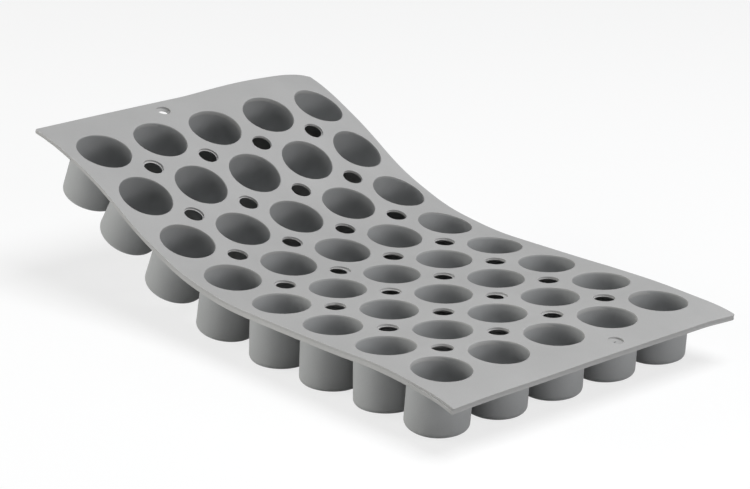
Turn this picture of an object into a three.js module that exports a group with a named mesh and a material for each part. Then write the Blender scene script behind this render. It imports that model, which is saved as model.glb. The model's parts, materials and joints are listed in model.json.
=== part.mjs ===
// A flexible silicone mould for mini cakes: a thin sheet with rows of round cups moulded under it.
//
// The sheet flexes at its webs, the narrow lines between two rows of cups that run through the vent
// holes. It is modelled as one strip for each row, chained at the webs, and curled as it is when one
// end is lifted. Millimetres, +Z up, +X from the lifted end to the end that lies on the table. The
// origin is at the middle of the whole mould, on the table.

import * as THREE from 'three';

// Pattern of cups
const ROWS = 8;
const COLUMNS = 5;
const ROW_PITCH = 34.7;
const COLUMN_PITCH = 34;

// Sheet
const SHEET_THICKNESS = 2.2;
const END_MARGIN = 28.55; // from the middle of the first or last row to the end of the sheet
const SIDE_MARGIN = 19.5; // from the middle of an outer column to the side of the sheet
const CORNER_RADIUS = 1.5;

// Cups
const MOUTH_DIAMETER = 26.8;
const CUP_WALL = 0.9;
const CUP_FLOOR = 1.2;
const CUP_HEIGHT = 27.2; // from the top of the sheet to the underside of the cup
const FOOT_RADIUS = 3; // round between the wall and the underside of a cup

// Holes
const VENT_DIAMETER = 10;
const HANG_HOLE_DIAMETER = 7;
const HANG_HOLE_INSET = 8; // from the end of the sheet to the middle of the hole

// Clearances where the strips part at a web, and where a cup's rim seats under its strip
const WEB_GAP = 0.6;
const SEAT_GAP = 0.3;

// How the mould lies: bend of each web in degrees, from the lifted end on. A positive bend lifts the
// far side of the web. The table row is the one that lies flat and carries the others.
const WEB_BENDS = [-6, 11, 12, 7.5, 0, 2, -4];
const TABLE_ROW = 4;

// Facets
const HALF_TURN_STEPS = 8;
const FOOT_STEPS = 2;
const FLOOR_STEPS = 1;

const SHEET_WIDTH = (COLUMNS - 1) * COLUMN_PITCH + 2 * SIDE_MARGIN;
const MOUTH_RADIUS = MOUTH_DIAMETER / 2;
const CUP_RADIUS = MOUTH_RADIUS + CUP_WALL;
const HALF_TURN = Math.PI;
const QUARTER_TURN = Math.PI / 2;

const silicone = {
  sheet: new THREE.MeshStandardMaterial({ color: 0xa3a3a2, roughness: 0.75, metalness: 0 }),
  cup: new THREE.MeshStandardMaterial({ color: 0x9c9c9b, roughness: 0.75, metalness: 0 }),
};

// Places of the columns, and of the vents midway between them, across the sheet
const columnPlaces = Array.from({ length: COLUMNS }, (_, c) => (c - (COLUMNS - 1) / 2) * COLUMN_PITCH);
const ventPlaces = columnPlaces.slice(1).map((place) => place - COLUMN_PITCH / 2);

// A whole round hole, as two half turns
function roundHole(x, y, diameter) {
  const hole = new THREE.Path();
  hole.absarc(x, y, diameter / 2, 0, HALF_TURN, false);
  hole.absarc(x, y, diameter / 2, HALF_TURN, 2 * HALF_TURN, false);
  return hole;
}

// One side of a strip where it meets a web: straight, with half of each vent cut into it. The side is
// drawn upwards (+Y) at the strip's +X side and downwards at its -X side.
function webSide(outline, side) {
  const ventRadius = VENT_DIAMETER / 2;
  const web = side * ROW_PITCH / 2;
  const edge = side * (ROW_PITCH / 2 - WEB_GAP / 2);
  const trim = Math.asin(WEB_GAP / 2 / ventRadius);
  const from = side > 0 ? -(QUARTER_TURN + trim) : QUARTER_TURN - trim;
  outline.lineTo(edge, -side * SHEET_WIDTH / 2);
  for (const place of ventPlaces) {
    outline.absarc(web, side * place, ventRadius, from, -from, true);
  }
  outline.lineTo(edge, side * SHEET_WIDTH / 2);
}

// One end of the sheet, with its two rounded corners, drawn the same way round as a web side
function endSide(outline, side) {
  const x = side * (END_MARGIN - CORNER_RADIUS);
  const y = side * (SHEET_WIDTH / 2 - CORNER_RADIUS);
  const from = side > 0 ? -QUARTER_TURN : QUARTER_TURN;
  outline.absarc(x, -y, CORNER_RADIUS, from, from + QUARTER_TURN, false);
  outline.absarc(x, y, CORNER_RADIUS, from + QUARTER_TURN, from + HALF_TURN, false);
}

// The strip of sheet round one row of cups, with the top of the sheet at z = 0
function sheetStrip(row) {
  const outline = new THREE.Shape();
  if (row === ROWS - 1) {
    endSide(outline, 1);
  } else {
    outline.moveTo(ROW_PITCH / 2 - WEB_GAP / 2, -SHEET_WIDTH / 2);
    webSide(outline, 1);
  }
  if (row === 0) {
    endSide(outline, -1);
  } else {
    webSide(outline, -1);
  }
  outline.closePath();
  for (const place of columnPlaces) {
    outline.holes.push(roundHole(0, place, MOUTH_DIAMETER));
  }
  // The hanging holes lie between two columns, on opposite sides of the middle at the two ends.
  const hangX = END_MARGIN - HANG_HOLE_INSET;
  if (row === 0) {
    outline.holes.push(roundHole(-hangX, -COLUMN_PITCH / 2, HANG_HOLE_DIAMETER));
  }
  if (row === ROWS - 1) {
    outline.holes.push(roundHole(hangX, COLUMN_PITCH / 2, HANG_HOLE_DIAMETER));
  }
  const geometry = new THREE.ExtrudeGeometry(outline, {
    depth: SHEET_THICKNESS,
    bevelEnabled: false,
    curveSegments: HALF_TURN_STEPS / 2,
  });
  return geometry.translate(0, 0, -SHEET_THICKNESS);
}

// Points of a quarter round from one angle to another, for a turned profile
function quarterRound(x, y, radius, from, to, steps) {
  return Array.from({ length: steps + 1 }, (_, step) => {
    const angle = from + (to - from) * step / steps;
    return new THREE.Vector2(x + radius * Math.cos(angle), y + radius * Math.sin(angle));
  });
}

// A cup turned about its axis: under the foot, up the outside, over the rim and down the inside
function cupBody() {
  const rim = -SHEET_THICKNESS - SEAT_GAP;
  const floor = -CUP_HEIGHT + CUP_FLOOR;
  const innerRound = Math.max(FOOT_RADIUS - CUP_WALL, CUP_WALL);
  const foot = quarterRound(
    CUP_RADIUS - FOOT_RADIUS, -CUP_HEIGHT + FOOT_RADIUS, FOOT_RADIUS, -QUARTER_TURN, 0, FOOT_STEPS);
  const inside = quarterRound(
    MOUTH_RADIUS - innerRound, floor + innerRound, innerRound, 0, -QUARTER_TURN, FLOOR_STEPS);
  const profile = [
    new THREE.Vector2(0, -CUP_HEIGHT),
    ...foot,
    new THREE.Vector2(CUP_RADIUS, rim),
    new THREE.Vector2(MOUTH_RADIUS, rim),
    ...inside,
    new THREE.Vector2(0, floor),
  ];
  return new THREE.LatheGeometry(profile, 2 * HALF_TURN_STEPS).rotateX(QUARTER_TURN);
}

const cupGeometry = cupBody();

// One row: its strip of sheet and the cups under it, with the row's middle at the group's origin
function mouldRow(row) {
  const group = new THREE.Group();
  const strip = new THREE.Mesh(sheetStrip(row), silicone.sheet);
  strip.name = `sheet_row_${row + 1}`;
  group.add(strip);
  columnPlaces.forEach((place, column) => {
    const cup = new THREE.Mesh(cupGeometry, silicone.cup);
    cup.name = `cup_${row + 1}_${column + 1}`;
    cup.position.y = place;
    group.add(cup);
  });
  return group;
}

// Hang one row on its neighbour at the web between them, which bends on the top face of the sheet
function joinAtWeb(inner, outer, side, bend) {
  const web = new THREE.Group();
  web.position.x = side * ROW_PITCH / 2;
  web.rotation.y = -side * THREE.MathUtils.degToRad(bend);
  outer.position.x = side * ROW_PITCH / 2;
  web.add(outer);
  inner.add(web);
}

const rows = Array.from({ length: ROWS }, (_, row) => mouldRow(row));
for (let row = TABLE_ROW; row > 0; row -= 1) {
  joinAtWeb(rows[row], rows[row - 1], -1, WEB_BENDS[row - 1]);
}
for (let row = TABLE_ROW; row < ROWS - 1; row += 1) {
  joinAtWeb(rows[row], rows[row + 1], 1, WEB_BENDS[row]);
}

// Stand the mould on the table with its middle over the origin
const mould = new THREE.Group();
mould.add(rows[TABLE_ROW]);
mould.updateMatrixWorld(true);
const extent = new THREE.Box3().setFromObject(mould, true);
const middle = extent.getCenter(new THREE.Vector3());
mould.position.set(-middle.x, -middle.y, -extent.min.z);

export default mould;
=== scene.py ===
# %% [markdown]
# # A silicone mould for mini cakes
#
# The real thing is one soft grey moulding: a thin sheet with forty round cups under it, a vent hole
# wherever four cups meet, and a hanging hole near each end. One end is lifted, so the sheet curls.
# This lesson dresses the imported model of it: the sheet is made again as one smooth skin that bends at
# its webs, and the cups as turned shells that hang from it.

import json
import math

import bmesh
import bpy
from mathutils import Matrix, Vector

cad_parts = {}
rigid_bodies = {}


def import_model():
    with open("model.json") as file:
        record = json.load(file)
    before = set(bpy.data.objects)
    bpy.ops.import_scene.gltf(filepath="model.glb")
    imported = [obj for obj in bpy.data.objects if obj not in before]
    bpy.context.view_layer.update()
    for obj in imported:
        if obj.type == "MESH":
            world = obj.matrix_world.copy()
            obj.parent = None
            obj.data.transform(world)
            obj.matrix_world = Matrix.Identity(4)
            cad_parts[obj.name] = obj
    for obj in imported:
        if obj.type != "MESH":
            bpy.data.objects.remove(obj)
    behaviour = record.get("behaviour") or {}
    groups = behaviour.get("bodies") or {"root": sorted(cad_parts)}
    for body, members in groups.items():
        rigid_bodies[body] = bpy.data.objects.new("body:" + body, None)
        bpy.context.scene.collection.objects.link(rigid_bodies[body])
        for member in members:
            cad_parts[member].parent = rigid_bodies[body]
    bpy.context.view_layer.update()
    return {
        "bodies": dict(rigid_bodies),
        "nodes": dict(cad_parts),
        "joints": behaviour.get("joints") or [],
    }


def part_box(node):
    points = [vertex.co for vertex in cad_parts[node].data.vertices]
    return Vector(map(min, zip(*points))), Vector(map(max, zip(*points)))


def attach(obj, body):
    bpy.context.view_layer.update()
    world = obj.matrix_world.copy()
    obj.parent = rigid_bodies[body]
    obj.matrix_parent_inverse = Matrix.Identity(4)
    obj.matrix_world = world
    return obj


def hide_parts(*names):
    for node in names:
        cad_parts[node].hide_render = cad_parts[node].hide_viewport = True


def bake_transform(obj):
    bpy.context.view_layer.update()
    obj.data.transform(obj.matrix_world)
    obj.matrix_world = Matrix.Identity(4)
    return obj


MM = 0.001

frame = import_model()

# %% [markdown]
# ## Sizes
#
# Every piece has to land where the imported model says, so the pattern's sizes are measured on the
# model: the pitches from its hinges and cups, the thickness from the strip that lies flat. Only what
# no box can show, such as a wall or a rounded edge, is written down here as a number.

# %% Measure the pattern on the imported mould
ROWS = len(frame["bodies"])
COLUMNS = sum(1 for node in frame["nodes"] if node.startswith("cup_1_"))
FLAT_ROW = 5

hinges = {joint["name"]: Vector(joint["pos_m"]) for joint in frame["joints"]}
strip_low, strip_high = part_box(f"sheet_row_{FLAT_ROW}")
cup_low, cup_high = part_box(f"cup_{FLAT_ROW}_1")
next_cup_low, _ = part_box(f"cup_{FLAT_ROW}_2")


def hinge_after(row):
    """Where the web between this row and the next one bends."""
    return hinges[f"web_{row}_{row + 1}"]


ROW_PITCH = hinge_after(FLAT_ROW).x - hinge_after(FLAT_ROW - 1).x
COLUMN_PITCH = next_cup_low.y - cup_low.y
SHEET_WIDTH = strip_high.y - strip_low.y
SHEET_THICKNESS = strip_high.z - strip_low.z
SIDE_MARGIN = (SHEET_WIDTH - (COLUMNS - 1) * COLUMN_PITCH) / 2
CUP_RADIUS = (cup_high.y - cup_low.y) / 2
CUP_HEIGHT = strip_high.z - cup_low.z

CUP_WALL = 0.9 * MM
CUP_FLOOR = 1.2 * MM
FOOT_RADIUS = 3.0 * MM
MOUTH_RADIUS = CUP_RADIUS - CUP_WALL
VENT_RADIUS = 5.0 * MM
HANG_HOLE_RADIUS = 3.5 * MM
HANG_HOLE_INSET = 8.0 * MM
END_MARGIN = 28.55 * MM
CORNER_RADIUS = 1.0 * MM

print("rows and columns:", ROWS, COLUMNS)
print("pitches, mm:", round(ROW_PITCH / MM, 2), round(COLUMN_PITCH / MM, 2))
print("mouth radius, mm:", round(MOUTH_RADIUS / MM, 2), "thickness, mm:", round(SHEET_THICKNESS / MM, 2))

# %% [markdown]
# ## How the rows lie
#
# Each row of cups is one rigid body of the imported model, tilted by the curl. The top face of its strip
# gives the tilt, and half a pitch from the hinge along that tilt lies the row's middle. A positive
# tilt lifts the side of the row that points to the raised end.

# %% Find the middle and the tilt of each row
LOOKS_UP = 0.8


def strip_tilt(row):
    """Lean of a strip's top face, from the area-weighted normal of the faces that look up."""
    faces = frame["nodes"][f"sheet_row_{row}"].data.polygons
    lean = sum((face.normal * face.area for face in faces if face.normal.z > LOOKS_UP), Vector())
    return math.atan2(lean.x, lean.z)


def along(tilt):
    """Direction on the sheet from the raised end to the flat one, at that tilt."""
    return Vector((math.cos(tilt), 0.0, -math.sin(tilt)))


row_tilt = {row: strip_tilt(row) for row in range(1, ROWS + 1)}
row_along = {row: END_MARGIN + (row - 1) * ROW_PITCH for row in range(1, ROWS + 1)}
row_place = {row: hinge_after(row) - along(row_tilt[row]) * ROW_PITCH / 2 for row in range(1, ROWS)}
row_place[ROWS] = hinge_after(ROWS - 1) + along(row_tilt[ROWS]) * ROW_PITCH / 2
print("tilts, degrees:", [round(math.degrees(tilt), 1) for tilt in row_tilt.values()])

# %% [markdown]
# ## The curl as a set of profile curves
#
# Silicone doesn't fold at a line: between two rows it goes from one tilt to the next in a smooth
# sweep. A plain arc would do, but an arc changes its bend abruptly where it ends, and that shows as a
# line in the light. So the tilt eases in and out, and the path is stepped along and scaled to end just
# on the next row's middle. The two ends of the sheet go on past their rows and droop a little.

# %% Step along the sheet from row to row
PROFILE_STEPS = 40
STEP_MIDDLES = [(step + 0.5) / PROFILE_STEPS for step in range(PROFILE_STEPS)]
RAISED_END_DROOP = math.radians(11.2)
FLAT_END_DROOP = math.radians(13.4)
DROOP_POWER = 1.5


def ease(share):
    """A smooth way from nothing to one."""
    return share * share * (3 - 2 * share)


def step_along(start, tilts, length):
    """Points of a path from start that follows a list of tilts, one for each equal step."""
    points = [start.copy()]
    for tilt in tilts:
        points.append(points[-1] + along(tilt) * length / len(tilts))
    return points


def bay_path(row):
    """Path on the sheet's top from the middle of a row to the middle of the next."""
    first, last = row_tilt[row], row_tilt[row + 1]
    tilts = [first + (last - first) * ease(share) for share in STEP_MIDDLES]
    path = step_along(Vector(), tilts, ROW_PITCH)
    span = row_place[row + 1] - row_place[row]
    size = span.length / path[-1].length
    turn = path[-1].rotation_difference(span)
    return [row_place[row] + turn @ point * size for point in path]


def end_path(row, droop, side):
    """Path from the middle of the first or last row to that end of the sheet."""
    tilts = [row_tilt[row] + side * droop * share**DROOP_POWER for share in STEP_MIDDLES]
    return step_along(row_place[row], tilts, side * END_MARGIN)


def put_in_scene(name, data):
    """A new object in the scene."""
    thing = bpy.data.objects.new(name, data)
    bpy.context.scene.collection.objects.link(thing)
    return thing


def profile_curve(name, points):
    """A curve object through the points, for the node trees to read."""
    data = bpy.data.curves.new(name, "CURVE")
    data.dimensions = "3D"
    line = data.splines.new("POLY")
    line.points.add(len(points) - 1)
    for spot, point in zip(line.points, points):
        spot.co = (*point, 1.0)
    return put_in_scene(name, data)


bay_profiles = {row: profile_curve(f"profile_{row}_{row + 1}", bay_path(row)) for row in range(1, ROWS)}
raised_profile = profile_curve("profile_raised_end", end_path(1, RAISED_END_DROOP, -1))
flat_profile = profile_curve("profile_flat_end", end_path(ROWS, FLAT_END_DROOP, 1))
print("profile curves:", len(bay_profiles) + 2)

# %% [markdown]
# ## Helpers for node trees
#
# Geometry Nodes trees are built here in code, so a few helpers keep that short: they make a tree with
# its named inputs, add a node and feed it, do a sum, put a vector together or take it apart, pass a
# geometry on, and set copies side by side.

# %% Define the helpers for nodes and numbers
SOCKET_KINDS = {float: "NodeSocketFloat", int: "NodeSocketInt", tuple: "NodeSocketVector"}


def new_tree(name, inputs, outputs):
    """An empty tree and its inner sockets. An input without a first value names its kind of socket."""
    tree = bpy.data.node_groups.new(name, "GeometryNodeTree")
    for label, value in inputs.items():
        kind = SOCKET_KINDS.get(type(value))
        socket = tree.interface.new_socket(label, in_out="INPUT", socket_type=kind or value)
        if kind:
            socket.default_value = value
    for label, kind in outputs.items():
        tree.interface.new_socket(label, in_out="OUTPUT", socket_type=kind)
    given = tree.nodes.new("NodeGroupInput").outputs
    result = tree.nodes.new("NodeGroupOutput").inputs
    return tree, given, result


def feed(tree, node, feeds):
    """Feed a node's inputs with values or with other nodes' sockets."""
    for socket, value in feeds.items():
        if isinstance(value, bpy.types.NodeSocket):
            tree.links.new(value, node.inputs[socket])
        else:
            node.inputs[socket].default_value = value


def add_node(tree, kind, feeds, **options):
    """A node with its options set and its inputs fed."""
    node = tree.nodes.new(kind)
    for option, value in options.items():
        setattr(node, option, value)
    feed(tree, node, feeds)
    return node


def calc(tree, operation, first, second=0.0, clamp=False):
    """One sum on numbers."""
    node = add_node(tree, "ShaderNodeMath", {0: first, 1: second}, operation=operation, use_clamp=clamp)
    return node.outputs[0]


def product(tree, first, *others):
    """Numbers multiplied in turn."""
    for other in others:
        first = calc(tree, "MULTIPLY", first, other)
    return first


print("helpers for nodes and numbers ready")


# %% Define the helpers for vectors and shapes
def vector_calc(tree, operation, first, second):
    """One sum on vectors."""
    return add_node(tree, "ShaderNodeVectorMath", {0: first, 1: second}, operation=operation).outputs[0]


def scaled(tree, vector, amount):
    """A vector made longer or shorter."""
    feeds = {0: vector, "Scale": amount}
    return add_node(tree, "ShaderNodeVectorMath", feeds, operation="SCALE").outputs[0]


def vector_of(tree, **parts):
    """A vector made from some of its X, Y and Z."""
    return add_node(tree, "ShaderNodeCombineXYZ", parts).outputs[0]


def parts_of(tree, vector):
    """The X, Y and Z of a vector, by name."""
    return add_node(tree, "ShaderNodeSeparateXYZ", {0: vector}).outputs


def shape_of(tree, socket):
    """The geometry of the object that a socket holds."""
    return add_node(tree, "GeometryNodeObjectInfo", {"Object": socket}).outputs["Geometry"]


def pass_on(tree, kind, geometry, **feeds):
    """The geometry that comes out of a node which changes it."""
    return add_node(tree, f"GeometryNode{kind}", {0: geometry, **feeds}).outputs[0]


def ranged(tree, value, target, span=(0.0, 1.0)):
    """A value moved from one range to another."""
    limits = {"From Min": span[0], "From Max": span[1], "To Min": target[0], "To Max": target[1]}
    return add_node(tree, "ShaderNodeMapRange", {"Value": value, **limits}).outputs["Result"]


def side_by_side(tree, shape, count, pitch):
    """Instances of a shape along Y, a pitch apart about the middle; also gives the number of gaps."""
    gaps = calc(tree, "SUBTRACT", count, 1.0)
    places = {
        "Count": count,
        "Start Location": vector_of(tree, Y=product(tree, gaps, pitch, -0.5)),
        "Offset": vector_of(tree, Y=pitch),
    }
    line = add_node(tree, "GeometryNodeMeshLine", places).outputs[0]
    return pass_on(tree, "InstanceOnPoints", line, Instance=shape), gaps


print("helpers for vectors and shapes ready")

# %% [markdown]
# ## How the sheet sags between its ends
#
# The sheet isn't only curled. On the raised half one long edge hangs down and the other bows up and
# ripples, a few spots stand up or dip, towards both ends the soft sheet spreads a little, and one
# corner, outside the cups, is drawn out. A small node group gives the rise, the spread, the drift and
# the pull for any spot, so that the sheet and the cups under it are moved by the very same rule.

# %% Start the sag as a node group
SPREAD_POWER = 3.0

sag, given, result = new_tree(
    "sheet_sag",
    {
        "Along": 0.0,
        "Across": 0.0,
        "Half width": SHEET_WIDTH / 2,
        "Half length": END_MARGIN + (ROWS - 1) * ROW_PITCH / 2,
        "Edge drop": 6.4 * MM,
        "Drop from": 55.7 * MM,
        "Drop reach": 225.0 * MM,
        "Bow": 3.2 * MM,
        "Bow middle": 112.0 * MM,
        "Bow reach": 120.0 * MM,
        "Ripple": 1.4 * MM,
        "Ripple trough": 143.0 * MM,
        "Ripple length": 175.0 * MM,
        "Spread": 0.026,
        "Drift": 1.3 * MM,
        "Corner pull": 2.6 * MM,
        "Pull reach": 32.0 * MM,
    },
    {label: "NodeSocketFloat" for label in ("Rise", "Spread", "Drift", "Pull")},
)


def mound(place, middle, reach):
    """One at the middle, falling smoothly to nothing at the reach."""
    off = calc(sag, "DIVIDE", calc(sag, "SUBTRACT", place, middle), reach)
    inside = calc(sag, "SUBTRACT", 1.0, product(sag, off, off), clamp=True)
    return product(sag, inside, inside)


print("sag sockets:", len(sag.interface.items_tree))

# %% Hang one long edge down
faded = calc(sag, "SUBTRACT", 1.0, calc(sag, "DIVIDE", given["Along"], given["Drop reach"]), clamp=True)
beyond = calc(sag, "SUBTRACT", given["Across"], given["Drop from"])
flap = calc(sag, "SUBTRACT", given["Half width"], given["Drop from"])
outward = calc(sag, "MAXIMUM", calc(sag, "DIVIDE", beyond, flap), 0.0)
drop = product(sag, outward, outward, faded, given["Edge drop"])
print("nodes for the drop:", len(sag.nodes))

# %% Bow and ripple the other one
lean = calc(sag, "DIVIDE", given["Across"], product(sag, given["Half width"], -1.0), clamp=True)
bow = product(sag, mound(given["Along"], given["Bow middle"], given["Bow reach"]), lean, given["Bow"])
from_trough = calc(sag, "SUBTRACT", given["Along"], given["Ripple trough"])
turns = calc(sag, "DIVIDE", from_trough, given["Ripple length"])
wave = calc(sag, "COSINE", product(sag, turns, math.tau))
ripple = product(sag, lean, lean, wave, given["Ripple"])
print("nodes with the bow and the ripple:", len(sag.nodes))

# %% Lift and dip a few spots: how much, then middle and reach along the sheet and across it, in mm
LIFTS = {
    "hump of the raised end": (1.5, 0.0, 70.0, 36.0, 40.0),
    "near corner": (1.0, 275.0, 50.0, -72.0, 40.0),
    "far corner": (-1.2, 300.0, 90.0, 92.0, 25.0),
    "edge of the flat end": (1.1, 302.0, 26.0, 0.0, 260.0),
}
rise = calc(sag, "SUBTRACT", calc(sag, "SUBTRACT", bow, drop), ripple)
for amount, along_middle, along_reach, across_middle, across_reach in LIFTS.values():
    lift = mound(given["Along"], along_middle * MM, along_reach * MM)
    beside = mound(given["Across"], across_middle * MM, across_reach * MM)
    rise = calc(sag, "ADD", rise, product(sag, lift, beside, amount * MM))
sag.links.new(rise, result["Rise"])
print("spots lifted or dipped:", len(LIFTS))

# %% Spread both ends, and let the flat one drift sideways
from_middle = calc(sag, "SUBTRACT", calc(sag, "DIVIDE", given["Along"], given["Half length"]), 1.0)
spread = calc(sag, "POWER", calc(sag, "ABSOLUTE", from_middle), SPREAD_POWER)
sag.links.new(calc(sag, "ADD", product(sag, spread, given["Spread"]), 1.0), result["Spread"])
drift = calc(sag, "POWER", calc(sag, "MAXIMUM", from_middle, 0.0), SPREAD_POWER)
sag.links.new(product(sag, drift, given["Drift"]), result["Drift"])
print("nodes with the spread and the drift:", len(sag.nodes))

# %% Draw the far corner of the raised end out along the sheet
pull_across = mound(given["Across"], given["Half width"], given["Pull reach"])
pull_along = mound(given["Along"], 0.0, END_MARGIN - MOUTH_RADIUS)
sag.links.new(product(sag, pull_across, pull_along, given["Corner pull"]), result["Pull"])


def sag_at(tree, along_place, across_place):
    """The sag's outputs at a place on the sheet."""
    feeds = {"Along": along_place, "Across": across_place}
    return add_node(tree, "GeometryNodeGroup", feeds, node_tree=sag).outputs


print("sag group nodes:", len(sag.nodes))

# %% [markdown]
# ## Silicone
#
# The mould is pigmented silicone rubber: even, matte and a little dusty, with the fine satin of the
# tool it was moulded in. A flat grey would look like paint, so the tone drifts slightly over
# centimetres, a fine speckle breaks it up, the roughness varies, and two bumps give it the satin and
# the slight unevenness of a soft skin. Everything reads Object coordinates, so it stays on the piece. The
# cups get a darker, cooler copy of it, which is painted shade for the cups that hang under the sheet.

# %% Make the silicone finishes
SHEET_GREY = (0.408, 0.405, 0.402)
# The cups are the same silicone as the sheet; their darker, cooler grey is painted shade, for the cups
# that hang under the sheet.
SHADED_CUP_GREY = (0.366, 0.371, 0.375)
NOISE_SPAN = (0.3, 0.7)
DRIFT = {"scale": 28.0, "detail": 3.0}
DRIFT_TONES = (0.955, 1.035)
SPECKLE = {"scale": 2600.0, "detail": 2.0}
SPECKLE_TONES = (0.97, 1.03)
SATIN = {"scale": 140.0, "detail": 4.0}
SATIN_ROUGHNESS = (0.56, 0.74)
UNEVEN = {"scale": 70.0, "detail": 2.0, "strength": 0.12, "height": 0.6 * MM}
GRAIN = {"scale": 1900.0, "detail": 3.0, "strength": 0.1, "height": 0.12 * MM}
SILICONE_IOR = 1.41
SILICONE_SPECULAR = 0.2


def new_material(name):
    """A material, with its node tree and its shader."""
    material = bpy.data.materials.new(name)
    material.use_nodes = True
    return material, material.node_tree, material.node_tree.nodes["Principled BSDF"]


def silicone(name, grey):
    """Matte silicone of one tone, with its drift, speckle, satin and soft unevenness."""
    material, tree, shader = new_material(name)
    place = tree.nodes.new("ShaderNodeTexCoord").outputs["Object"]

    def clouds(scale, detail):
        feeds = {"Vector": place, "Scale": scale, "Detail": detail}
        return add_node(tree, "ShaderNodeTexNoise", feeds).outputs["Fac"]

    def bumped(scale, detail, strength, height, **below):
        feeds = {"Height": clouds(scale, detail), "Strength": strength, "Distance": height, **below}
        return add_node(tree, "ShaderNodeBump", feeds).outputs["Normal"]

    drift = add_node(tree, "ShaderNodeValToRGB", {"Fac": clouds(**DRIFT)})
    for stop, spot, shade in zip(drift.color_ramp.elements, NOISE_SPAN, DRIFT_TONES):
        stop.position = spot
        stop.color = (*(tone * shade for tone in grey), 1.0)
    speckle = ranged(tree, clouds(**SPECKLE), SPECKLE_TONES, span=NOISE_SPAN)
    tinted = add_node(
        tree,
        "ShaderNodeMix",
        {"Factor": 1.0, 6: drift.outputs["Color"], 7: speckle},
        data_type="RGBA",
        blend_type="MULTIPLY",
    )
    satin = ranged(tree, clouds(**SATIN), SATIN_ROUGHNESS)
    skin = bumped(**GRAIN, Normal=bumped(**UNEVEN))
    feed(tree, shader, {"Base Color": tinted.outputs[2], "Roughness": satin, "Normal": skin})
    feed(tree, shader, {"IOR": SILICONE_IOR, "Specular IOR Level": SILICONE_SPECULAR})
    return material


sheet_silicone = silicone("sheet_silicone", SHEET_GREY)
# The cups' copy is darker and cooler than the sheet's: painted shade under the sheet.
cup_silicone = silicone("cup_silicone", SHADED_CUP_GREY)
print("finishes:", sheet_silicone.name, cup_silicone.name)

# %% [markdown]
# ## Flat tiles of the sheet
#
# The sheet repeats: between two rows of cups lies one tile for each pair of columns, a four-pointed
# star round its vent. Cutting the holes with booleans would leave long thin faces that shade badly
# when the sheet bends. So each tile is laid out from rows of quads that run round its holes, on the
# top and on the underside, and each lip is a short section of rows that goes over the edge.

# %% Lay out points and fill the flat between them
QUARTER_STEPS = 16
SKIN_ROWS = 3


def on_circle(centre, radius, angle):
    """The point of a circle at an angle, in radians."""
    return Vector((centre[0] + radius * math.cos(angle), centre[1] + radius * math.sin(angle), 0.0))


def arc(centre, radius, first, last, steps=QUARTER_STEPS):
    """Points on a circle from one angle to another, in degrees."""
    turns = [first + (last - first) * step / steps for step in range(steps + 1)]
    return [on_circle(centre, radius, math.radians(turn)) for turn in turns]


def fill_rows(tile, first, last, steps=1, closed=False):
    """Rows of quads from one line of points to another with as many points."""
    lines = []
    for step in range(steps + 1):
        lines.append([tile.verts.new(a.lerp(b, step / steps)) for a, b in zip(first, last)])
    count = len(first)
    for lower, upper in zip(lines, lines[1:]):
        for spot in range(count if closed else count - 1):
            after = (spot + 1) % count
            tile.faces.new((lower[spot], lower[after], upper[after], upper[spot]))


def lowered(points, depth):
    """The points moved down by a depth."""
    return [point - Vector((0.0, 0.0, depth)) for point in points]


def fill_skins(tile, first, last, steps=1, closed=False):
    """The same rows of quads on the top of the sheet and on its underside."""
    for depth in (0.0, SHEET_THICKNESS):
        fill_rows(tile, lowered(first, depth), lowered(last, depth), steps, closed)


def fill_lip(tile, line, section, closed=False):
    """Rows of quads over a lip, given its line at any inset and each row's inset and depth."""
    lines = [lowered(line(inset), depth) for inset, depth in section]
    for first, last in zip(lines, lines[1:]):
        fill_rows(tile, first, last, closed=closed)


print("points round a quarter:", QUARTER_STEPS + 1)

# %% [markdown]
# ### Lips
#
# Seen close up, no edge of a moulding is quite sharp. So each lip is drawn as a section: rows of points,
# each given by how far in from the edge and how deep it lies. The two halves of the tool met a little
# under the top face. On that parting plane a film of silicone closed every hole, and it was punched out
# later: the vents keep a thin ledge of it, one hanging hole is clear and the other still has its film,
# with a pin hole in the middle.

# %% Draw the sections of the mouths, vents and hanging holes
PARTING = 1.0 * MM
LIP = 0.9 * MM
LIP_ROUND = 0.35 * MM
VENT_ROUND = 0.2 * MM
VENT_LEDGE = 0.08 * MM
FILM_SLOPE = 0.1 * MM
FILM_THICKNESS = 0.15 * MM
HOLE_LIP = 0.45 * MM
HOLE_TAPER = 1.1 * MM
PIN_HOLE_RADIUS = 0.3 * MM
EDGE_ROUND = 0.18 * MM


def rounded(radius, steps=3):
    """Inset and depth along a quarter round, from the top over to the wall."""
    turns = [math.pi / 2 * step / steps for step in range(steps + 1)]
    return [(radius * (1 - math.sin(turn)), radius * (1 - math.cos(turn))) for turn in turns]


def film_edge(inset):
    """The punched edge of a film, which hangs a little lower than its rim."""
    depth = PARTING + FILM_SLOPE
    return [(inset, depth), (inset, depth + FILM_THICKNESS)]


MOUTH_SECTION = [(LIP, 0.0), *rounded(LIP_ROUND), (0.0, SHEET_THICKNESS), (LIP, SHEET_THICKNESS)]
VENT_SECTION = [
    (LIP, 0.0),
    *rounded(VENT_ROUND),
    (0.0, PARTING),
    *film_edge(-VENT_LEDGE),
    (LIP, SHEET_THICKNESS),
]
hole_top = [(HOLE_LIP, 0.0), *rounded(EDGE_ROUND), (0.0, PARTING)]
CLEAR_HOLE_SECTION = [*hole_top, (-HOLE_TAPER, SHEET_THICKNESS), (HOLE_LIP, SHEET_THICKNESS)]
FILMED_HOLE_SECTION = [
    *hole_top,
    *film_edge(PIN_HOLE_RADIUS - HANG_HOLE_RADIUS),
    (0.0, SHEET_THICKNESS),
    (HOLE_LIP, SHEET_THICKNESS),
]
print("rows over a mouth and a vent:", len(MOUTH_SECTION), len(VENT_SECTION))

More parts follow.
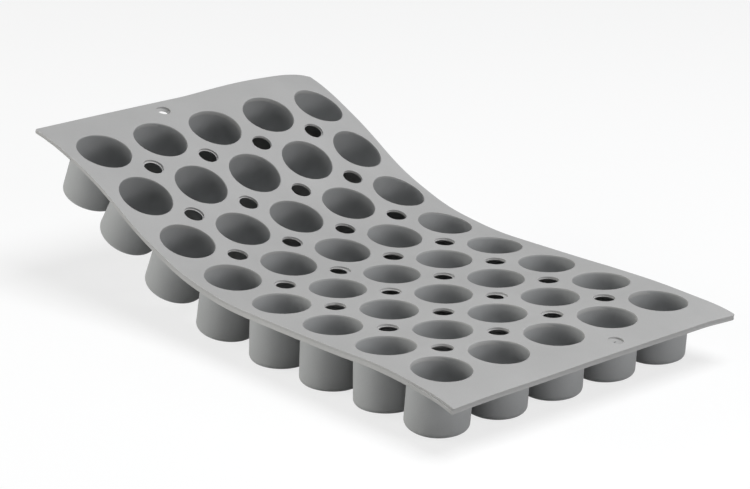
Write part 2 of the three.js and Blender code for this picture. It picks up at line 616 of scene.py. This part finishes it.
# %% [markdown]
# ### The outer edge
#
# The edge isn't the same all round. At the raised end it is plain, with a slight undercut. Towards the
# flat end a fine groove shows where the tool parted and the edge grows a little deeper. It also leans
# outwards, most along the middle of the long sides and less at the flat end. So its section is worked
# out for each row of cups, and a border tile fades from one row's section to the next one's.

# %% Draw the section of the edge beside a row
GROOVE_WIDE = 0.26 * MM
GROOVE_DEEP = 0.07 * MM
GROOVE_FIRST_ROW = 2.5
GROOVE_FULL_ROW = 4.5
LEAN_FIRST_ROW = 2
EDGE_UNDERCUT = 0.1 * MM
EDGE_LEAN = 0.5 * MM
FLAT_END_LEAN = 0.5 * MM
EDGE_BEAD = 0.8 * MM


def edge_foot(row):
    """How far in the foot of the edge lies beside a row of cups; below zero, it leans outwards."""
    way = max(row - LEAN_FIRST_ROW, 0) / (ROWS - LEAN_FIRST_ROW)
    hump = 4 * way * (1 - way)
    return EDGE_UNDERCUT - EDGE_LEAN * hump - FLAT_END_LEAN * way


def edge_section(row):
    """Inset and depth of each row of points down the outer edge, beside a row of cups."""
    grown = (row - GROOVE_FIRST_ROW) / (GROOVE_FULL_ROW - GROOVE_FIRST_ROW)
    grooved = ease(min(max(grown, 0.0), 1.0))
    foot = edge_foot(row)
    depth = SHEET_THICKNESS + EDGE_BEAD * grooved
    return [
        (LIP, 0.0),
        *rounded(EDGE_ROUND),
        (0.0, PARTING - GROOVE_WIDE / 2),
        (GROOVE_DEEP * grooved, PARTING),
        (0.0, PARTING + GROOVE_WIDE / 2),
        (foot, depth - LIP_ROUND),
        (foot + LIP_ROUND, depth),
        (LIP, SHEET_THICKNESS),
    ]


def fill_edge(tile, line, first, last):
    """Rows of quads down a straight edge whose section fades from the first one to the last."""
    width = line[-1].x
    lines = []
    for (inset, depth), (last_inset, last_depth) in zip(first, last):
        begin, end = Vector((0.0, inset, depth)), Vector((0.0, last_inset, last_depth))
        lines.append([point - begin.lerp(end, point.x / width) for point in line])
    for upper, lower in zip(lines, lines[1:]):
        fill_rows(tile, upper, lower)


print("foot of the edge, mm:", [round(edge_foot(row) / MM, 2) for row in range(1, ROWS + 1)])

# %% Close a tile
ANGLE_SLACK = 1e-6
SAME_POINT = 0.001 * MM
NEAR_CUT = 0.01 * MM
TOP_DEPTH = 0.5 * MM


def ring_round(centre, radius, loop):
    """A circle with one point for each point of a loop round it, spread nearly evenly."""
    angles = [math.atan2(point.y - centre[1], point.x - centre[0]) for point in loop]
    points = []
    last = angles[0]
    for spot, angle in enumerate(angles):
        while angle < last - ANGLE_SLACK:
            angle += math.tau
        last = angle
        evenly = angles[0] + math.tau * spot / len(loop)
        points.append(on_circle(centre, radius, (angle + evenly) / 2))
    return points


def shape_object(name, shape):
    """Turn a layout into an object."""
    data = bpy.data.meshes.new(name)
    shape.to_mesh(data)
    shape.free()
    print(name, "faces:", len(data.polygons))
    return bpy.data.objects.new(name, data)


def on_cut(edge, cut):
    """Whether an open edge lies where a stretch of sheet ends."""
    return edge.is_boundary and all(abs(vert.co.x - cut) < NEAR_CUT for vert in edge.verts)


def finish_tile(tile, name, cuts):
    """Merge a tile, close it where a stretch of sheet ends, face it outwards and make it an object."""
    bmesh.ops.remove_doubles(tile, verts=tile.verts, dist=SAME_POINT)
    for cut in cuts:
        rim = [edge for edge in tile.edges if on_cut(edge, cut)]
        bmesh.ops.holes_fill(tile, edges=rim, sides=0)
    bmesh.ops.recalc_face_normals(tile, faces=tile.faces)
    tile.normal_update()
    top = [face for face in tile.faces if face.calc_center_median().z > -TOP_DEPTH]
    if sum(face.normal.z * face.calc_area() for face in top) < 0:
        bmesh.ops.reverse_faces(tile, faces=tile.faces)
    return shape_object(name, tile)


print("ready to close tiles")

# %% [markdown]
# ### The vent tile
#
# It reaches from the middle of one row to the middle of the next, and from column to column. Its four
# corners are quarters of the mouths, and its middle is the vent.


# %% Lay out the vent tile
def vent_tile():
    """The sheet between four cups, with the vent in its middle."""
    tile = bmesh.new()
    half = COLUMN_PITCH / 2
    vent = (ROW_PITCH / 2, 0.0)
    corners = [(ROW_PITCH, half, 270), (0.0, half, 360), (0.0, -half, 90), (ROW_PITCH, -half, 180)]
    bridges = [(ROW_PITCH, 0.0), (ROW_PITCH / 2, half), (0.0, 0.0), (ROW_PITCH / 2, -half)]
    star = []
    for bridge, (x, y, angle) in zip(bridges, corners):

        def mouth(inset):
            return arc((x, y), MOUTH_RADIUS + inset, angle, angle - 90)

        fill_lip(tile, mouth, MOUTH_SECTION)
        star += [Vector((*bridge, 0.0)), *mouth(LIP)]

    def vent_ring(inset):
        return ring_round(vent, VENT_RADIUS + inset, star)

    fill_lip(tile, vent_ring, VENT_SECTION, closed=True)
    fill_skins(tile, star, vent_ring(LIP), steps=SKIN_ROWS, closed=True)
    return finish_tile(tile, "vent_tile", cuts=(0.0, ROW_PITCH))


vent_tile_object = vent_tile()

# %% [markdown]
# ### The edge tiles
#
# Along the sides and ends the sheet is a plain border outside the last mouths. The same layout does
# for both: from two quarter mouths and the bridge between them out to a straight edge. At each end
# one of these tiles has the hanging hole, and two more turn the corner.


# %% Lay out the side tiles
def first_mouth(inset):
    """The quarter mouth where a border starts."""
    return arc((0.0, 0.0), MOUTH_RADIUS + inset, 90, 0)


def border_lines(tile, width, *heights):
    """Fill a border's two quarter mouths; returns the line inside their lips, then straight ones."""

    def last_mouth(inset):
        return arc((width, 0.0), MOUTH_RADIUS + inset, 180, 90)

    fill_lip(tile, first_mouth, MOUTH_SECTION)
    fill_lip(tile, last_mouth, MOUTH_SECTION)
    inner = [*first_mouth(LIP), Vector((width / 2, 0.0, 0.0)), *last_mouth(LIP)]
    evenly = [width * spot / (len(inner) - 1) for spot in range(len(inner))]
    places = [(point.x + x) / 2 for point, x in zip(inner, evenly)]
    return inner, *([Vector((x, height, 0.0)) for x in places] for height in heights)


def side_tile(row):
    """The side border from one row to the next."""
    tile = bmesh.new()
    inner, outer, rim = border_lines(tile, ROW_PITCH, SIDE_MARGIN - LIP, SIDE_MARGIN)
    fill_skins(tile, inner, outer, steps=SKIN_ROWS)
    fill_edge(tile, rim, edge_section(row), edge_section(row + 1))
    return finish_tile(tile, f"side_tile_{row}", cuts=(0.0, ROW_PITCH))


side_tiles = {row: side_tile(row) for row in range(1, ROWS)}

# %% Lay out the border between two columns at an end
END_STRIP = 1.7 * MM
END_CLEAR = MOUTH_RADIUS + LIP + END_STRIP
END_OUTER_ROWS = 5


def join_part(tile, part, place):
    """Add one layout to another, with each point moved by the rule that place gives."""
    part.verts.index_update()
    spots = [tile.verts.new(place(vert.co)) for vert in part.verts]
    for face in part.faces:
        tile.faces.new([spots[vert.index] for vert in face.verts])
    part.free()


def end_bay(tile, middle, edge, hole_section):
    """The border between two columns at an end. It is laid out sideways and then turned into place."""
    part = bmesh.new()
    heights = (END_CLEAR, END_MARGIN - LIP, END_MARGIN)
    inner, clear, outer, rim = border_lines(part, COLUMN_PITCH, *heights)
    fill_skins(part, inner, clear, steps=SKIN_ROWS)
    fill_edge(part, rim, edge, edge)
    if hole_section:
        hole = (COLUMN_PITCH / 2, END_MARGIN - HANG_HOLE_INSET)
        shares = [row / END_OUTER_ROWS for row in range(1, END_OUTER_ROWS)]
        right = [clear[-1].lerp(outer[-1], share) for share in shares]
        left = [outer[0].lerp(clear[0], share) for share in shares]
        loop = [*clear, *right, *reversed(outer), *left]

        def hole_ring(inset):
            return ring_round(hole, HANG_HOLE_RADIUS + inset, loop)

        fill_skins(part, loop, hole_ring(HOLE_LIP), steps=SKIN_ROWS, closed=True)
        fill_lip(part, hole_ring, hole_section, closed=True)
    else:
        fill_skins(part, clear, outer, steps=END_OUTER_ROWS)
    join_part(tile, part, lambda spot: Vector((spot.y, middle + COLUMN_PITCH / 2 - spot.x, spot.z)))


print("rows of quads out to an end:", SKIN_ROWS + END_OUTER_ROWS)

# %% Lay out the corners and one whole end of the sheet
HOLE_GAP = COLUMNS // 2
CORNER_STEPS = 4
CORNER_END_STEPS = 5
CORNER_SIDE_STEPS = QUARTER_STEPS - CORNER_STEPS - CORNER_END_STEPS


def corner_line(inset):
    """The outer edge round a corner: along the side, round the corner and along the end."""
    far, wide, radius = END_MARGIN - inset, SIDE_MARGIN - inset, CORNER_RADIUS - inset
    turn = arc((far - radius, wide - radius), radius, 90, 0, steps=CORNER_STEPS)
    side_shares = [step / CORNER_SIDE_STEPS for step in range(CORNER_SIDE_STEPS)]
    end_shares = [step / CORNER_END_STEPS for step in reversed(range(CORNER_END_STEPS))]
    side_line = [Vector((turn[0].x * share, wide, 0.0)) for share in side_shares]
    end_line = [Vector((far, turn[-1].y * share, 0.0)) for share in end_shares]
    return [*side_line, *turn, *end_line]


def end_corner(tile, side, edge):
    """The corner outside the last column, from its quarter mouth to the rounded corner."""
    part = bmesh.new()
    inner, outer = first_mouth(LIP), corner_line(LIP)
    share = END_STRIP / (END_MARGIN - MOUTH_RADIUS - 2 * LIP)
    clear = [a.lerp(b, share) for a, b in zip(inner, outer)]
    fill_lip(part, first_mouth, MOUTH_SECTION)
    fill_skins(part, inner, clear, steps=SKIN_ROWS)
    fill_skins(part, clear, outer, steps=END_OUTER_ROWS)
    fill_lip(part, corner_line, edge)
    last_column = (COLUMNS - 1) / 2 * COLUMN_PITCH
    join_part(tile, part, lambda spot: Vector((spot.x, side * (spot.y + last_column), spot.z)))


def end_tile(name, row, hole_section):
    """The border beyond the first or the last row, with a hanging hole beside its middle column."""
    tile = bmesh.new()
    edge = edge_section(row)
    for gap in range(COLUMNS - 1):
        middle = (gap - (COLUMNS - 2) / 2) * COLUMN_PITCH
        end_bay(tile, middle, edge, hole_section if gap == HOLE_GAP else None)
    for side in (1, -1):
        end_corner(tile, side, edge)
    return finish_tile(tile, name, cuts=(0.0,))


raised_tile = end_tile("raised_tile", 1, CLEAR_HOLE_SECTION)
flat_tile = end_tile("flat_tile", ROWS, FILMED_HOLE_SECTION)

# %% [markdown]
# ## The sheet
#
# One node tree makes every stretch of sheet. It sets tiles side by side, adds the two side borders and
# merges the seams. The vents weren't all punched true, so the film's edge in each is moved off centre
# and drawn in by a random step with a fixed seed, small in most and large in a few. Then the tree lays
# the flat result on a profile curve: how far a point lies along the tile becomes how far along the
# curve, and the sag group lifts it. A Curve modifier could bend it too, but it would know nothing of
# the sag.

# %% Start the tree that lays tiles on a profile
WELD_REACH = 0.005 * MM
FILM_SLACK = 0.01 * MM

sheet_tree, given, result = new_tree(
    "sheet_on_profile",
    {
        "Tile": "NodeSocketObject",
        "Tiles": 1,
        "Tile pitch": COLUMN_PITCH,
        "Side border": "NodeSocketObject",
        "Profile": "NodeSocketObject",
        "Length": ROW_PITCH,
        "Start": 0.0,
        "Across": (0.0, 1.0, 0.0),
        "Film edge": PARTING + FILM_SLOPE + FILM_THICKNESS / 2,
        "Punch radius": VENT_RADIUS - VENT_LEDGE,
        "Punch step": 0.38 * MM,
        "Seed": 0,
        "Silicone": "NodeSocketMaterial",
    },
    {"Sheet": "NodeSocketGeometry"},
)
tree = sheet_tree
tiles, gaps = side_by_side(tree, shape_of(tree, given["Tile"]), given["Tiles"], given["Tile pitch"])
anywhere = add_node(
    tree,
    "FunctionNodeRandomValue",
    {0: (-1.0, -1.0, 0.0), 1: (1.0, 1.0, 0.0), "Seed": given["Seed"]},
    data_type="FLOAT_VECTOR",
).outputs[0]
squared = add_node(tree, "ShaderNodeVectorMath", {0: anywhere, 1: anywhere}, operation="DOT_PRODUCT")
step = product(tree, squared.outputs["Value"], given["Punch step"])
punched = add_node(
    tree,
    "GeometryNodeStoreNamedAttribute",
    {"Geometry": tiles, "Name": "punch", "Value": scaled(tree, anywhere, step)},
    data_type="FLOAT_VECTOR",
    domain="INSTANCE",
).outputs[0]
print("nodes for the tiles:", len(tree.nodes))

# %% Add the two side borders and merge the seams
border = shape_of(tree, given["Side border"])
last_column = product(tree, given["Tiles"], given["Tile pitch"], 0.5)
far_place = vector_of(tree, Y=last_column)
near_place = vector_of(tree, Y=product(tree, last_column, -1.0))
far_border = pass_on(tree, "Transform", border, Translation=far_place)
mirrored = pass_on(tree, "Transform", border, Translation=near_place, Scale=(1.0, -1.0, 1.0))
near_border = pass_on(tree, "FlipFaces", mirrored)
flat = tree.nodes.new("GeometryNodeJoinGeometry")
for part in (punched, far_border, near_border):
    tree.links.new(part, flat.inputs[0])
realized = pass_on(tree, "RealizeInstances", flat.outputs[0])
welded = pass_on(tree, "MergeByDistance", realized, Distance=WELD_REACH)
print("nodes with the borders:", len(tree.nodes))

# %% Move the film's edge in each vent
position = tree.nodes.new("GeometryNodeInputPosition").outputs[0]
flat_spot = parts_of(tree, position)
stored = add_node(tree, "GeometryNodeInputNamedAttribute", {"Name": "punch"}, data_type="FLOAT_VECTOR")
punch = stored.outputs[0]
half_gaps = product(tree, gaps, 0.5)
vent_count = calc(tree, "ADD", calc(tree, "DIVIDE", flat_spot["Y"], given["Tile pitch"]), half_gaps)
vent_across = calc(tree, "SUBTRACT", calc(tree, "ROUND", vent_count), half_gaps)
vent = vector_of(
    tree,
    X=product(tree, given["Length"], 0.5),
    Y=product(tree, vent_across, given["Tile pitch"]),
    Z=flat_spot["Z"],
)
off_centre = add_node(tree, "ShaderNodeVectorMath", {0: punch}, operation="LENGTH").outputs["Value"]
drawn_in = calc(tree, "DIVIDE", off_centre, given["Punch radius"])
inward = scaled(tree, vector_calc(tree, "SUBTRACT", vent, position), drawn_in)
from_film = calc(tree, "ABSOLUTE", calc(tree, "ADD", flat_spot["Z"], given["Film edge"]))
on_film_edge = calc(tree, "LESS_THAN", from_film, FILM_THICKNESS / 2 + FILM_SLACK)
shift = scaled(tree, vector_calc(tree, "ADD", punch, inward), on_film_edge)
spot = parts_of(tree, vector_calc(tree, "ADD", position, shift))
print("nodes with the punching:", len(tree.nodes))

# %% Lay the flat sheet on the profile curve
on_curve = add_node(
    tree,
    "GeometryNodeSampleCurve",
    {
        "Curves": shape_of(tree, given["Profile"]),
        "Factor": calc(tree, "DIVIDE", spot["X"], given["Length"]),
    },
    mode="FACTOR",
).outputs
facing = parts_of(tree, given["Across"])["Y"]
along_sheet = calc(tree, "ADD", given["Start"], product(tree, spot["X"], facing))
sagged = sag_at(tree, along_sheet, product(tree, spot["Y"], facing))
upward = vector_calc(tree, "CROSS_PRODUCT", on_curve["Tangent"], given["Across"])
lifted = scaled(tree, upward, calc(tree, "ADD", spot["Z"], sagged["Rise"]))
spread = product(tree, spot["Y"], sagged["Spread"])
drift = product(tree, sagged["Drift"], facing)
sideways = scaled(tree, given["Across"], calc(tree, "ADD", spread, drift))
onward = scaled(tree, on_curve["Tangent"], sagged["Pull"])
laid_at = on_curve["Position"]
for offset in (onward, sideways, lifted):
    laid_at = vector_calc(tree, "ADD", laid_at, offset)
laid = pass_on(tree, "SetPosition", welded, Position=laid_at)
bare = pass_on(tree, "RemoveAttribute", laid, Name="punch")
finished = pass_on(tree, "SetMaterial", bare, Material=given["Silicone"])
tree.links.new(finished, result["Sheet"])
print("sheet tree nodes:", len(tree.nodes))

# %% Turn a tree's result into a plain mesh piece
SHARP_ANGLE = math.radians(40)


def plain_piece(name, tree, values):
    """Run a tree with these inputs and keep the result as a plain mesh."""
    maker = put_in_scene(name + "_maker", bpy.data.meshes.new(name + "_maker"))
    nodes = maker.modifiers.new("nodes", "NODES")
    nodes.node_group = tree
    sockets = {item.name: item.identifier for item in tree.interface.items_tree if item.in_out == "INPUT"}
    for label, value in values.items():
        nodes[sockets[label]] = value
    graph = bpy.context.evaluated_depsgraph_get()
    data = bpy.data.meshes.new_from_object(maker.evaluated_get(graph), depsgraph=graph)
    data.name = name
    data.shade_smooth()
    data.set_sharp_from_angle(angle=SHARP_ANGLE)
    piece = put_in_scene(name, data)
    bpy.data.objects.remove(maker)
    data.calc_loop_triangles()
    print(name, "triangles:", len(data.loop_triangles))
    return piece


print("ready to make pieces")

for row in range(1, ROWS):
    web = plain_piece(
        f"sheet_{row}_{row + 1}",
        sheet_tree,
        {
            "Tile": vent_tile_object,
            "Tiles": COLUMNS - 1,
            "Side border": side_tiles[row],
            "Profile": bay_profiles[row],
            "Start": row_along[row],
            "Seed": row,
            "Silicone": sheet_silicone,
        },
    )
    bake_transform(web)
    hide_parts(f"sheet_row_{row}", f"sheet_row_{row + 1}")

# %% Make the two ends of the sheet
for name, row, shape, curve, across in (
    ("sheet_raised_end", 1, raised_tile, raised_profile, -1.0),
    ("sheet_flat_end", ROWS, flat_tile, flat_profile, 1.0),
):
    end = plain_piece(
        name,
        sheet_tree,
        {
            "Tile": shape,
            "Profile": curve,
            "Length": END_MARGIN,
            "Start": row_along[row],
            "Across": (0.0, across, 0.0),
            "Silicone": sheet_silicone,
        },
    )
    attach(end, f"row_{row}")
    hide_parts(f"sheet_row_{row}")

# %% [markdown]
# ## The cups
#
# Each cup is a straight round shell with a rounded foot, moulded in one with the sheet. A turned
# profile gives one cup: up the outside, through a small fillet under the sheet, over a rim that hides
# in the sheet's thickness, and down the inside to a flat floor. A node tree then sets five of them
# under a row and moves them by the same sag as the sheet above.

# %% Turn one cup
TURN_STEPS = 4 * QUARTER_STEPS
UNDER_FILLET = 0.8 * MM
FILLET_TOP = SHEET_THICKNESS - 0.3 * MM
RIM_DEPTH = 0.9 * MM
SKIN = 0.015 * MM
RINGS_UNDER_FILLET = (9.0 * MM, 1.0 * MM)
RINGS_INSIDE = (RIM_DEPTH, RIM_DEPTH + 1.0 * MM, 10.0 * MM)


def cup_profile():
    """Radius and height of the shell from the middle of its underside to the middle of its floor."""
    inner_radius = MOUTH_RADIUS - SKIN
    inner_round = FOOT_RADIUS - CUP_WALL
    floor = -CUP_HEIGHT + CUP_FLOOR
    fillet_foot = -SHEET_THICKNESS - UNDER_FILLET
    foot = arc((CUP_RADIUS - FOOT_RADIUS, -CUP_HEIGHT + FOOT_RADIUS), FOOT_RADIUS, -90, 0, steps=8)
    fillet = arc((CUP_RADIUS + UNDER_FILLET, fillet_foot), UNDER_FILLET, 180, 90, steps=5)
    inside = arc((inner_radius - inner_round, floor + inner_round), inner_round, 0, -90, steps=6)
    return [
        (0.0, -CUP_HEIGHT),
        (CUP_RADIUS / 2, -CUP_HEIGHT),
        *(point.xy for point in foot),
        *((CUP_RADIUS, fillet_foot - drop) for drop in RINGS_UNDER_FILLET),
        *(point.xy for point in fillet),
        (CUP_RADIUS + UNDER_FILLET, -FILLET_TOP),
        (CUP_RADIUS, -RIM_DEPTH),
        *((inner_radius, -drop) for drop in RINGS_INSIDE),
        *(point.xy for point in inside),
        (CUP_RADIUS / 2, floor),
        (0.0, floor),
    ]


def turned(name, points, steps):
    """A shell turned about Z, with one point where the profile meets the axis."""
    shell = bmesh.new()
    rings = []
    for radius, height in points:
        count = 1 if radius < SAME_POINT else steps
        spots = [on_circle((0.0, 0.0), radius, math.tau * step / steps) for step in range(count)]
        rings.append([shell.verts.new((spot.x, spot.y, height)) for spot in spots])
    for lower, upper in zip(rings, rings[1:]):
        for step in range(steps):
            after = (step + 1) % steps
            corners = [lower[step % len(lower)], lower[after % len(lower)]]
            corners += [upper[after % len(upper)], upper[step % len(upper)]]
            shell.faces.new(list(dict.fromkeys(corners)))
    bmesh.ops.recalc_face_normals(shell, faces=shell.faces)
    return shape_object(name, shell)


cup_object = turned("cup", cup_profile(), TURN_STEPS)

# %% Start the tree that sets a row of cups
PROBE = 1.0 * MM
TABLE_LOW = (-1.0, -1.0, 0.0)

cup_tree, given, result = new_tree(
    "cups_under_row",
    {
        "Cup": "NodeSocketObject",
        "Columns": COLUMNS,
        "Column pitch": COLUMN_PITCH,
        "Row place": (0.0, 0.0, 0.0),
        "Row tilt": 0.0,
        "Row along": 0.0,
        "Silicone": "NodeSocketMaterial",
    },
    {"Cups": "NodeSocketGeometry"},
)
tree = cup_tree
set_out, _ = side_by_side(tree, shape_of(tree, given["Cup"]), given["Columns"], given["Column pitch"])
realized = pass_on(tree, "RealizeInstances", set_out)
spot = parts_of(tree, tree.nodes.new("GeometryNodeInputPosition").outputs[0])
print("nodes for a row of cups:", len(tree.nodes))

# %% Swing each cup with the slope of the sheet above
column = calc(tree, "ROUND", calc(tree, "DIVIDE", spot["Y"], given["Column pitch"]))
column = product(tree, column, given["Column pitch"])
level = sag_at(tree, given["Row along"], column)["Rise"]
further = sag_at(tree, calc(tree, "ADD", given["Row along"], PROBE), column)["Rise"]
beside = sag_at(tree, given["Row along"], calc(tree, "ADD", column, PROBE))["Rise"]
depth = product(tree, spot["Z"], -1.0 / PROBE)
swing_along = product(tree, depth, calc(tree, "SUBTRACT", further, level))
swing_across = product(tree, depth, calc(tree, "SUBTRACT", beside, level))
print("nodes with the swing:", len(tree.nodes))

# %% Hang the cups under the tilted row, and none of them below the table
own = sag_at(tree, calc(tree, "ADD", given["Row along"], spot["X"]), spot["Y"])
height = calc(tree, "ADD", spot["Z"], own["Rise"])
reach_along = calc(tree, "ADD", spot["X"], swing_along)
drifted = calc(tree, "ADD", swing_across, own["Drift"])
reach_across = calc(tree, "ADD", product(tree, spot["Y"], own["Spread"]), drifted)
cosine = calc(tree, "COSINE", given["Row tilt"])
sine = calc(tree, "SINE", given["Row tilt"])
forward = vector_of(tree, X=cosine, Z=product(tree, sine, -1.0))
forward = scaled(tree, forward, reach_along)
upward = scaled(tree, vector_of(tree, X=sine, Z=cosine), height)
sideways = vector_calc(tree, "ADD", given["Row place"], vector_of(tree, Y=reach_across))
hung_at = vector_calc(tree, "ADD", sideways, vector_calc(tree, "ADD", forward, upward))
above_table = vector_calc(tree, "MAXIMUM", hung_at, TABLE_LOW)
hung = pass_on(tree, "SetPosition", realized, Position=above_table)
finished = pass_on(tree, "SetMaterial", hung, Material=given["Silicone"])
tree.links.new(finished, result["Cups"])
print("cup tree nodes:", len(tree.nodes))

# %% Make the rows of cups
for row in range(1, ROWS + 1):
    cups = plain_piece(
        f"cups_{row}",
        cup_tree,
        {
            "Cup": cup_object,
            "Row place": row_place[row],
            "Row tilt": row_tilt[row],
            "Row along": row_along[row],
            "Silicone": cup_silicone,
        },
    )
    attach(cups, f"row_{row}")
    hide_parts(*(f"cup_{row}_{column}" for column in range(1, COLUMNS + 1)))

# %% Clear away the helpers
profiles = [*bay_profiles.values(), raised_profile, flat_profile]
shapes = [vent_tile_object, *side_tiles.values(), raised_tile, flat_tile, cup_object]
for helper in profiles + shapes:
    bpy.data.objects.remove(helper)

# %% [markdown]
# ## Floor and light
#
# The mould is shown on plain white, between soft boxes: two low ones on the left that light the sides
# of the cups, a low one on the right, and a high one that lights the sheet and reaches into the cups.
# A floor that took its white from light alone would need more light than the mould can stand. So most
# of what the camera sees of it is a plain white glow, and the rest is lit and keeps the shadow. What it
# sends back up to the mould is that of a pale grey board.

# %% Lay the floor
WHITE = (1.0, 1.0, 1.0, 1.0)
FLOOR_SIZE = 6.0
FLOOR_DROP = 0.2 * MM
FLOOR_ROUGHNESS = 0.9
FLOOR_SPECULAR = 0.1
FLOOR_BOUNCE = 0.45
FLOOR_GLOW = 0.75


def white_floor():
    """White to the camera, mostly by its own glow, and a pale grey in the light it sends back."""
    material, tree, shader = new_material("white_floor")
    path = tree.nodes.new("ShaderNodeLightPath").outputs
    tone = ranged(tree, path["Is Camera Ray"], (FLOOR_BOUNCE, 1.0))
    feed(tree, shader, {"Base Color": tone, "Roughness": FLOOR_ROUGHNESS})
    feed(tree, shader, {"Specular IOR Level": FLOOR_SPECULAR})
    glow = add_node(tree, "ShaderNodeEmission", {"Color": WHITE, "Strength": 1.0})
    seen = calc(tree, "MAXIMUM", path["Is Camera Ray"], path["Is Glossy Ray"])
    share = product(tree, seen, FLOOR_GLOW)
    mixed = add_node(tree, "ShaderNodeMixShader", {0: share, 1: shader.outputs[0], 2: glow.outputs[0]})
    tree.links.new(mixed.outputs[0], tree.nodes["Material Output"].inputs["Surface"])
    return material


floor_mesh = bmesh.new()
bmesh.ops.create_grid(floor_mesh, x_segments=1, y_segments=1, size=FLOOR_SIZE)
floor = shape_object("floor", floor_mesh)
floor.location.z = -FLOOR_DROP
floor.data.materials.append(white_floor())
bpy.context.scene.collection.objects.link(floor)

# %% Make the sky white where it is seen, without letting it light the mould
world = bpy.data.worlds.new("studio")
bpy.context.scene.world = world
world.use_nodes = True
sky = world.node_tree
path = sky.nodes.new("ShaderNodeLightPath").outputs
seen = calc(sky, "MAXIMUM", path["Is Camera Ray"], path["Is Glossy Ray"])
seen = calc(sky, "MAXIMUM", seen, path["Is Transmission Ray"])
feed(sky, sky.nodes["Background"], {"Color": WHITE, "Strength": seen})
print("world:", world.name)

# %% Set the lamps: place, width and height in metres, power in watts, tint
LAMP_AIM = Vector((0.0, 0.0, 0.03))
LAMPS = {
    "left_box": ((-1.07, -1.14, 0.33), (0.9, 0.6), 11.4, (1.0, 1.0, 0.96)),
    "side_box": ((-0.35, -1.52, 0.33), (0.9, 0.6), 7.0, (1.0, 1.0, 0.97)),
    "right_box": ((1.50, 0.46, 0.33), (0.9, 0.6), 9.8, (1.0, 1.0, 1.0)),
    "high_box": ((0.52, 0.16, 1.50), (0.9, 0.9), 22.8, (0.975, 0.988, 1.0)),
}
for name, (place, (wide, high), power, tint) in LAMPS.items():
    box = bpy.data.lights.new(name, "AREA")
    box.shape = "RECTANGLE"
    box.size = wide
    box.size_y = high
    box.energy = power
    box.color = tint
    lamp = put_in_scene(name, box)
    lamp.location = place
    lamp.rotation_euler = (LAMP_AIM - Vector(place)).to_track_quat("-Z", "Y").to_euler()
print("lamps:", list(LAMPS))

# %% [markdown]
# ## The camera
#
# The picture was taken from low over one corner with a long lens. Its angles, lens and distance were
# found by fitting the mouths, the vents and the corners of the mould, so they are plain numbers here.
# The aim is measured from the middle of the row that lies flat. The camera starts there, is turned,
# leant and rolled, and then steps back along its own axis.

# %% Place the camera
CAMERA_AZIMUTH = math.radians(46.883)
CAMERA_ELEVATION = math.radians(18.908)
CAMERA_ROLL = math.radians(1.455)
CAMERA_DISTANCE = 1258.95 * MM
CAMERA_LENS = 129.26
SENSOR_WIDTH = 36.0
CAMERA_AIM = Vector((-8.802, -3.013, 12.745)) * MM

camera_data = bpy.data.cameras.new("camera")
camera_data.sensor_width = SENSOR_WIDTH
camera_data.lens = CAMERA_LENS
camera = put_in_scene("camera", camera_data)
camera.matrix_world = (
    Matrix.Translation(row_place[FLAT_ROW] + CAMERA_AIM)
    @ Matrix.Rotation(CAMERA_AZIMUTH, 4, "Z")
    @ Matrix.Rotation(math.pi / 2 - CAMERA_ELEVATION, 4, "X")
    @ Matrix.Rotation(CAMERA_ROLL, 4, "Z")
    @ Matrix.Translation((0.0, 0.0, CAMERA_DISTANCE))
)
bpy.context.scene.camera = camera
bpy.context.scene.view_settings.view_transform = "Standard"
print("camera at, mm:", [round(value / MM) for value in camera.location])

# %% [markdown]
# ## Finish
#
# Last, the view layer is brought up to date.

# %% Finish
bpy.context.view_layer.update()
